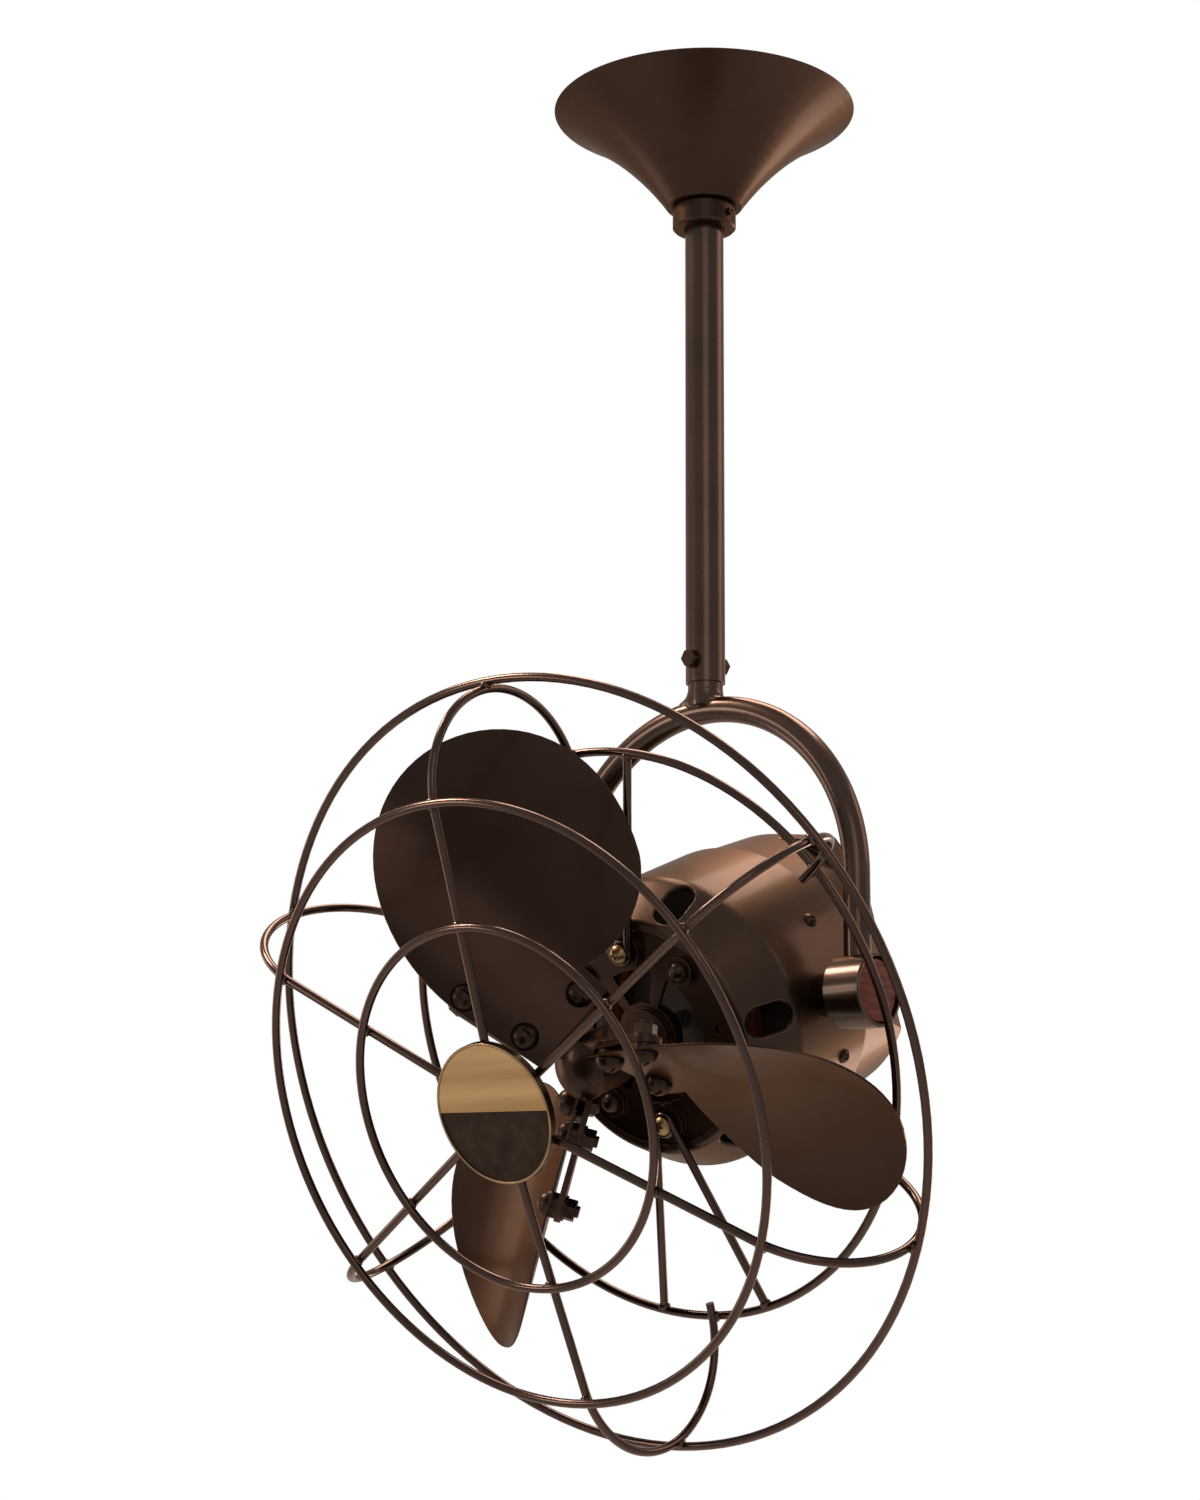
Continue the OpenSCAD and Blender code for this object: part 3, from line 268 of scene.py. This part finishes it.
def makeLayered(name, look):
    material, tree, shader, place = startMaterial(name, look["shader"])
    turned = addNode(tree, "ShaderNodeMapping", {"Rotation": (-headDip, 0, 0)}, {"Vector": place})
    bands = {"wave_type": "BANDS", "bands_direction": "Y", "Scale": waveLength / (look["pitch"] * mm)}
    wave = addNode(tree, "ShaderNodeTexWave", {**bands, **look["wave"]}, {"Vector": turned}).outputs["Fac"]
    tone = addNode(tree, "ShaderNodeValToRGB", {"stops": look["stops"]}, {"Fac": wave})
    bump = addNode(tree, "ShaderNodeBump", {"Strength": look["strength"], "Distance": look["depth"] * mm},
                   {"Height": wave})
    joinSockets(tree, shader, {"Base Color": tone, "Normal": bump})
    return material


# Turned hardwood, stained red-brown and lacquered: a deep dark red with a quiet grain from
# front to back, and a few bright reflections. The grain's lines are 1.6 mm apart.
wood = {
    "dark": "#3a160d",
    "mid": "#552518",
    "light": "#6e3524",
    "grain": 1.6,                 # mm
    "stretch": 0.12,              # draws the grain out to eight times its width
    "turn": (0.3, 0.2, 0.1),      # keeps the grain off the noise's own grid
    "poreStrength": 0.1,
    "poreDepth": 0.03,            # mm
    "roughness": 0.45,
    "shine": 0.1,
    "lacquer": 0.1,
    "lacquerRoughness": 0.08,
}


def makeWood(name, look):
    material, tree, shader, place = startMaterial(
        name, {"Roughness": look["roughness"], "Specular IOR Level": look["shine"],
               "Coat Weight": look["lacquer"], "Coat Roughness": look["lacquerRoughness"]})
    along = addNode(tree, "ShaderNodeMapping", {"Rotation": look["turn"], "Scale": (1, look["stretch"], 1)},
                    {"Vector": place})
    grain = addNode(tree, "ShaderNodeTexNoise",
                    {"Scale": 1 / (look["grain"] * mm), "Detail": 5.0, "Distortion": 0.6}, {"Vector": along})
    stops = [(0.3, look["dark"]), (0.5, look["mid"]), (0.75, look["light"])]
    tone = addNode(tree, "ShaderNodeValToRGB", {"stops": stops}, {"Fac": grain})
    bump = addNode(tree, "ShaderNodeBump",
                   {"Strength": look["poreStrength"], "Distance": look["poreDepth"] * mm}, {"Height": grain})
    joinSockets(tree, shader, {"Base Color": tone, "Normal": bump})
    return material


# Moulded black rubber: matt, with no highlight to speak of. The mould's fine texture is
# too fine to show, so it is drawn 0.7 mm wide.
rubber = {
    "dark": "#121212",
    "light": "#232322",
    "grain": 0.7,
    "strength": 0.4,
    "depth": 0.05,            # mm
    "roughness": 0.7,
}


def makeRubber(name, look):
    material, tree, shader, place = startMaterial(name, {"Roughness": look["roughness"]})
    grain = addNode(tree, "ShaderNodeTexNoise", {"Scale": 1 / (look["grain"] * mm), "Detail": 3.0},
                    {"Vector": place})
    tone = addNode(tree, "ShaderNodeValToRGB", {"stops": [(0.3, look["dark"]), (0.7, look["light"])]},
                   {"Fac": grain})
    bump = addNode(tree, "ShaderNodeBump", {"Strength": look["strength"], "Distance": look["depth"] * mm},
                   {"Height": grain})
    joinSockets(tree, shader, {"Base Color": tone, "Normal": bump})
    return material


materials = {name: makeCoat(name, look) for name, look in coats.items()}
materials.update({name: makeMetal(name, look) for name, look in metals.items()})
materials.update({name: makeLayered(name, look) for name, look in layered.items()})
materials["lacqueredHardwood"] = makeWood("lacqueredHardwood", wood)
materials["mouldedRubber"] = makeRubber("mouldedRubber", rubber)
print("materials made:", len(materials))

# Which nodes take which finish
finishOf = {
    "bronzePowderCoat": ["canopy", "collar", "end_shield", "blade_carrier", "emblem_plate"],
    "housingPowderCoat": ["motor_front", "rear_cover", "back_plate"],
    "bladePowderCoat": ["blade_1", "blade_2", "blade_3"],
    "cupPowderCoat": ["yoke_cup_left", "yoke_cup_right"],
    "yokePowderCoat": ["yoke", "downrod"],
    "wirePowderCoat": ["ring_outer", "ring_mid", "ring_small", "ring_rear", "strut_top", "strut_bottom",
                       "cage_rib_1", "cage_rib_2", "cage_rib_3", "cage_rib_4", "cage_rib_5", "cage_rib_6"],
    "blackenedSteel": ["pivot_stud_left", "pivot_stud_right", "emblem", "collar_screw", "rod_bolt",
                       "rod_nut", "rod_washers", "side_screws", "lug_screws", "cap_screws", "blade_screws",
                       "blade_nuts", "blade_washers", "blade_spacers", "hub_cap"],
    "zincPlatedSteel": ["ceiling_bracket", "hanger_bolt", "hanger_nut", "pivot_nuts", "stator_spacers"],
    "groundSteel": ["shaft", "bearings"],
    "satinBrass": ["strut_screws", "knob_insert_left", "knob_insert_right"],
    "varnishedLaminations": ["stator_core", "rotor_core"],
    "enamelledCopperWire": ["windings"],
    "lacqueredHardwood": ["knob_left", "knob_right"],
    "mouldedRubber": ["hanger_rubbers", "friction_washers"],
}
for finish, members in finishOf.items():
    for name in members:
        nodes[name].data.materials.clear()
        nodes[name].data.materials.append(materials[finish])
print("materials assigned to", sum(len(members) for members in finishOf.values()), "nodes")


def placePiece(bm, name, finish, body, turn=headTurn, smooth=True):
    # a mesh built in mm becomes an object whose place is in its mesh
    bmesh.ops.transform(bm, matrix=turn, verts=bm.verts)
    bmesh.ops.recalc_face_normals(bm, faces=bm.faces)
    mesh = bpy.data.meshes.new(name)
    bm.to_mesh(mesh)
    bm.free()
    if smooth:
        mesh.shade_smooth()
    piece = bpy.data.objects.new(name, mesh)
    bpy.context.scene.collection.objects.link(piece)
    piece.data.materials.append(materials[finish])
    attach(piece, body)
    return piece


# The cage in the head's frame, in mm and degrees, and the weld beads where its wires
# cross. A spot on it is given as its radius from the fan's axis and how far forward it is.
cage = {
    "wire": 4.4,
    "weldSink": 0.6,               # how deep crossing wires melt into each other
    "ringRadius": {"outer": 200.0, "mid": 152.0, "small": 91.2, "rear": 150.5},
    "outerBack": 4.6,              # outer ring behind the centre of the ribs' bend
    "bend": 53.9,                  # radius of that bend
    "bendFront": 110.6,            # its centre ahead of the tilt axis
    "rise": 3.4,                   # how the ribs rise towards the middle
    "ribStart": 30,                # first rib's angle round the fan's axis
    "ribs": 6,
    "bead": (3.3, 3.3, 2.5),       # half sizes along both wires and from wire to wire
    "strutSides": (90, -90),       # above and below
    "strutSpread": 13.0,           # a strut's wires to either side of that
    "strutBead": (3.3, 3.1, 2.2),
    "strutInset": 2.0,             # their beads lie inside the rear ring's centre line
    "lumps": (0.10, 1.6),          # a bead's unevenness: height as a share, and how close
    "seed": 4,
}
contact = cage["wire"] - cage["weldSink"]       # from axis to axis where two wires are welded
bendReach = cage["bend"] + contact
bendCentre = Vector((cage["ringRadius"]["outer"] - math.sqrt(bendReach ** 2 - cage["outerBack"] ** 2),
                     cage["bendFront"]))
ribRise = math.radians(cage["rise"])
bendEnd = bendCentre + cage["bend"] * Vector((math.sin(ribRise), math.cos(ribRise)))


def ribFront(radius):
    # how far forward a rib's axis is where it runs straight to the middle
    return bendEnd.y + (bendEnd.x - radius) * math.tan(ribRise)


def ringFront(name, radius):
    # how far forward a ring is, which rests on the outside of the ribs
    if name == "outer":
        return bendCentre.y - cage["outerBack"]
    if name == "small":
        return ribFront(radius) + contact / math.cos(ribRise)
    reach = math.sqrt(bendReach ** 2 - (radius - bendCentre.x) ** 2)
    return bendCentre.y + (reach if name == "mid" else -reach)


def nearestOnRib(spot):
    if spot.x >= bendEnd.x or spot.y < bendCentre.y:
        return bendCentre + (spot - bendCentre).normalized() * cage["bend"]
    run = Vector((-math.cos(ribRise), math.sin(ribRise)))
    return bendEnd + run * (spot - bendEnd).dot(run)


def roundAxis(angle):
    # outwards and along a ring, at an angle round the fan's axis
    turn = math.radians(angle)
    return Vector((math.cos(turn), math.sin(turn), 0)), Vector((-math.sin(turn), math.cos(turn), 0))


def addBead(bm, place, axes, reach, rng):
    # a slightly uneven lump; axes are the two wires' directions and the way between them
    height, closeness = cage["lumps"]
    made = bmesh.ops.create_icosphere(bm, subdivisions=3, radius=1.0)["verts"]
    shift = Vector((rng.uniform(0, 50), 0, 0))         # each bead has its own stretch of noise
    for vert in made:
        vert.co *= 1 + height * noise.noise(vert.co * closeness + shift)
    turned = Matrix(axes).transposed().to_4x4() @ Matrix.Diagonal((*reach, 1))
    bmesh.ops.transform(bm, matrix=Matrix.Translation(place) @ turned, verts=made)


def makeBeads(look):
    rng = random.Random(look["seed"])
    for ringName, radius in look["ringRadius"].items():
        bm = bmesh.new()
        ring = Vector((radius, ringFront(ringName, radius)))
        rib = nearestOnRib(ring)
        between = (ring - rib).normalized()
        middle = (ring + rib) / 2
        for index in range(look["ribs"]):
            outward, tangent = roundAxis(look["ribStart"] + index * 360 / look["ribs"])
            towards = outward * between.x + forward * between.y
            place = outward * middle.x + forward * middle.y
            addBead(bm, place, (tangent, towards.cross(tangent), towards), look["bead"], rng)
        if ringName == "rear":
            for side in look["strutSides"]:
                for spread in (-look["strutSpread"], look["strutSpread"]):
                    outward, tangent = roundAxis(side + spread)
                    place = outward * (ring.x - look["strutInset"]) + forward * ring.y
                    addBead(bm, place, (tangent, forward, outward), look["strutBead"], rng)
        placePiece(bm, "weld_beads_" + ringName, "wirePowderCoat", "head")


makeBeads(cage)
print("weld beads done")

# The emblem, in mm: a brass half above and a dark half below, inside a thin brass rim
emblem = {
    "ribInner": 20.0,         # the ribs end here, under the emblem
    "body": 3.2,              # the solid disc's thickness up to the floor of its recess
    "radius": 34.1,
    "segments": 120,
    "split": 1.0,             # height of the dividing line above the fan's axis
    "gap": 0.05,              # from the dividing line to each half
    "turn": -2.3,             # degrees, how far the dividing line has slipped round
    "lift": 0.005,            # keeps the halves clear of the recess's floor
    "halves": {
        "emblem_upper": {"upper": True, "thickness": 0.62, "bevel": 0.12, "finish": "polishedBrassFace",
                         "slot": "brass"},
        "emblem_lower": {"upper": False, "thickness": 0.14, "bevel": 0.04, "finish": "patinatedBrassFace",
                         "slot": "dark_steel"},
    },
    "rimInner": 34.3,
    "rimOuter": 35.4,
    "rimFoot": 0.55,          # the rim's foot above the recess's floor
    "rimHeight": 0.35,
    "rimChamfer": (0.3, 0.15),      # across and down
    "rimSegments": 144,
}


def halfDisc(look, half):
    upper, thickness = half["upper"], half["thickness"]
    split = look["split"] + (look["gap"] if upper else -look["gap"])
    bm = bmesh.new()
    bmesh.ops.create_circle(bm, cap_ends=True, segments=look["segments"], radius=look["radius"])
    bmesh.ops.bisect_plane(bm, geom=bm.verts[:] + bm.edges[:] + bm.faces[:], plane_co=(0, split, 0),
                           plane_no=(0, 1, 0), clear_inner=upper, clear_outer=not upper)
    raised = bmesh.ops.extrude_face_region(bm, geom=bm.faces[:])["geom"]
    lifted = [g for g in raised if isinstance(g, bmesh.types.BMVert)]
    bmesh.ops.translate(bm, vec=(0, 0, thickness), verts=lifted)
    rim = [e for e in bm.edges if all(v.co.z > thickness / 2 for v in e.verts)]
    bmesh.ops.bevel(bm, geom=rim, offset=half["bevel"], affect="EDGES", segments=2, profile=0.5, material=-1)
    return bm


def spinProfile(points, steps):
    # revolves an open chain of (radius, height) points round Z
    bm = bmesh.new()
    verts = [bm.verts.new((radius, 0, height)) for radius, height in points]
    edges = [bm.edges.new(pair) for pair in zip(verts, verts[1:])]
    bmesh.ops.spin(bm, geom=verts + edges, cent=(0, 0, 0), axis=(0, 0, 1), angle=math.radians(360),
                   steps=steps, use_merge=True)
    bmesh.ops.remove_doubles(bm, verts=bm.verts, dist=1e-5)
    return bm


def makeEmblem(look):
    floor = ribFront(look["ribInner"]) + cage["wire"] / 2 / math.cos(ribRise) + look["body"]
    turn = Matrix.Rotation(math.radians(look["turn"]), 3, "Z")
    for name, half in look["halves"].items():
        bm = halfDisc(look, half)
        bmesh.ops.rotate(bm, cent=(0, 0, 0), matrix=turn, verts=bm.verts)
        bmesh.ops.translate(bm, vec=(0, 0, floor + look["lift"]), verts=bm.verts)
        placePiece(bm, name, half["finish"], "head", smooth=False)
    foot = floor + look["rimFoot"]
    top = foot + look["rimHeight"]
    inner, outer = look["rimInner"], look["rimOuter"]
    inwards, fall = look["rimChamfer"]
    rim = spinProfile([(inner, foot), (inner, top - fall), (inner + inwards, top), (outer - inwards, top),
                       (outer, top - fall), (outer, foot), (inner, foot)], look["rimSegments"])
    placePiece(rim, "emblem_rim", "satinBrass", "head")


makeEmblem(emblem)
print("emblem done")

# The yoke's stem, in mm: its end is hollowed to fit the arch and welded to it
yoke = {
    "archDrop": 15.0,      # the arch's centre line below the end of the rod
    "stem": 9.42,          # a hair inside the solid's stem
    "weldTop": 13.0,       # above that centre line
    "fillet": 7.4,         # hollow between stem and arch
    "filletSteps": 8,
    "rightShare": 0.45,    # the hollow is smaller on the right
    "tuck": [(0.9, 3.0), (0.62, 1.0)],      # how its foot draws in: share of its width, height
    "drop": 0.6,           # how far the stem's end reaches below the centre line
    "tube": 7.0,
    "steps": 64,           # round the stem
    "spreadPower": 3,      # how quickly the hollow fades from along the arch to across it
    "flankStart": 0.8,     # share of the stem's radius past which the weld narrows
    "flankFall": 0.35,     # and how fast
}


def makeYokeWeld(look):
    stem, fillet, top = look["stem"], look["fillet"], look["weldTop"]
    points = [(0.0, top), (stem, top)]
    for step in range(1, look["filletSteps"] + 1):
        angle = math.radians(90 * step / look["filletSteps"])
        points.append((stem + fillet * (1 - math.cos(angle)), top - fillet * math.sin(angle)))
    points += [((stem + fillet) * share, height) for share, height in look["tuck"]]
    points += [(look["tube"], -look["drop"]), (0.0, -look["drop"])]
    bm = spinProfile(points, look["steps"])
    for vert in bm.verts:
        x, y, z = vert.co
        out = math.hypot(x, y)
        if out > stem:
            side = abs(x) / out                                # 1 along the arch, 0 across it
            extra = (out - stem) * side ** look["spreadPower"] * (look["rightShare"] if x > 0 else 1.0)
            x, y = x / out * (stem + extra), y / out * (stem + extra)
            beyond = max(0.0, abs(x) - stem * look["flankStart"])
            y = math.copysign(min(abs(y), look["tube"] - look["flankFall"] * beyond), y) if beyond else y
        vert.co = (x, y, z)
    bmesh.ops.smooth_vert(bm, verts=bm.verts, factor=0.5, use_axis_x=True, use_axis_y=True, use_axis_z=True)
    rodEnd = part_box("downrod")[0][2]
    turn = Matrix.Translation((0, 0, rodEnd - look["archDrop"] * mm)) @ Matrix.Scale(mm, 4)
    placePiece(bm, "yoke_stem_weld", "yokePowderCoat", "mount", turn=turn)


makeYokeWeld(yoke)
print("yoke weld done")

# The studio: a pale floor under the hanging fan, a white room and soft lamps
studio = {
    "floorHeight": -2.6,
    "floorHalf": 14.0,
    "floorColour": "#f4f2f0",
    "floorRoughness": 0.8,
    "aim": (0, 0, -0.45),
    "lamps": [            # name, place, size, watts, colour
        ("overhead", (-0.3, 0.6, 1.3), (1.2, 1.0), 36, "#fff0e2"),
        ("leftKey", (-1.2, -0.65, 1.05), (0.5, 0.5), 31, "#ffeee0"),
        ("leftLow", (-1.3, -1.75, -0.3), (0.4, 0.7), 7, "#ffecdc"),
        ("leftSide", (-2.0, -0.4, -0.5), (0.9, 1.2), 7, "#fff0e4"),
        ("rearRim", (0.1, 2.0, -0.75), (0.6, 1.0), 12, "#fffaf4"),
        ("rightBack", (1.2, 1.4, 0.5), (1.0, 1.0), 7, "#ffdac4"),
        ("frontFill", (1.7, -1.7, 0.3), (1.2, 1.2), 6, "#ffe6da"),
    ],
    "room": "#ffffff",
    "ambient": 0.7,       # the room's strength on rough surfaces; where it is seen it is 1
    "mirrored": 0.5,      # and in shiny ones, where the lamps give the contrast
}


def makeRoom(setup):
    world = bpy.data.worlds.new("studio")
    bpy.context.scene.world = world
    world.use_nodes = True
    tree = world.node_tree
    tree.nodes.clear()
    path = addNode(tree, "ShaderNodeLightPath")
    seen = addNode(tree, "ShaderNodeMath", {"operation": "MAXIMUM"},
                   {0: path.outputs["Is Camera Ray"], 1: path.outputs["Is Transmission Ray"]})
    unseen = addNode(tree, "ShaderNodeMapRange", {"To Min": setup["ambient"], "To Max": setup["mirrored"]},
                     {"Value": path.outputs["Is Glossy Ray"]})
    level = addNode(tree, "ShaderNodeMapRange", {"To Max": 1.0}, {"Value": seen, "To Min": unseen})
    light = addNode(tree, "ShaderNodeBackground", {"Color": linearColour(setup["room"])},
                    {"Strength": level})
    addNode(tree, "ShaderNodeOutputWorld", links={"Surface": light})


def makeFloor(setup):
    bm = bmesh.new()
    bmesh.ops.create_grid(bm, x_segments=1, y_segments=1, size=setup["floorHalf"])
    bmesh.ops.translate(bm, vec=(0, 0, setup["floorHeight"]), verts=bm.verts)
    mesh = bpy.data.meshes.new("floor")
    bm.to_mesh(mesh)
    bm.free()
    floor = bpy.data.objects.new("floor", mesh)
    bpy.context.scene.collection.objects.link(floor)
    settings = {"Base Color": linearColour(setup["floorColour"]), "Roughness": setup["floorRoughness"]}
    floor.data.materials.append(startMaterial("paleFloor", settings)[0])


def makeLamps(setup):
    for name, place, size, watts, colour in setup["lamps"]:
        data = bpy.data.lights.new(name, "AREA")
        data.shape = "RECTANGLE"
        data.size, data.size_y = size
        data.energy = watts
        data.color = linearColour(colour)[:3]
        lamp = bpy.data.objects.new(name, data)
        bpy.context.scene.collection.objects.link(lamp)
        lamp.location = place
        lamp.rotation_euler = (Vector(setup["aim"]) - Vector(place)).to_track_quat("-Z", "Y").to_euler()


bpy.context.scene.view_settings.view_transform = "Standard"
makeRoom(studio)
makeFloor(studio)
makeLamps(studio)
print("studio set")
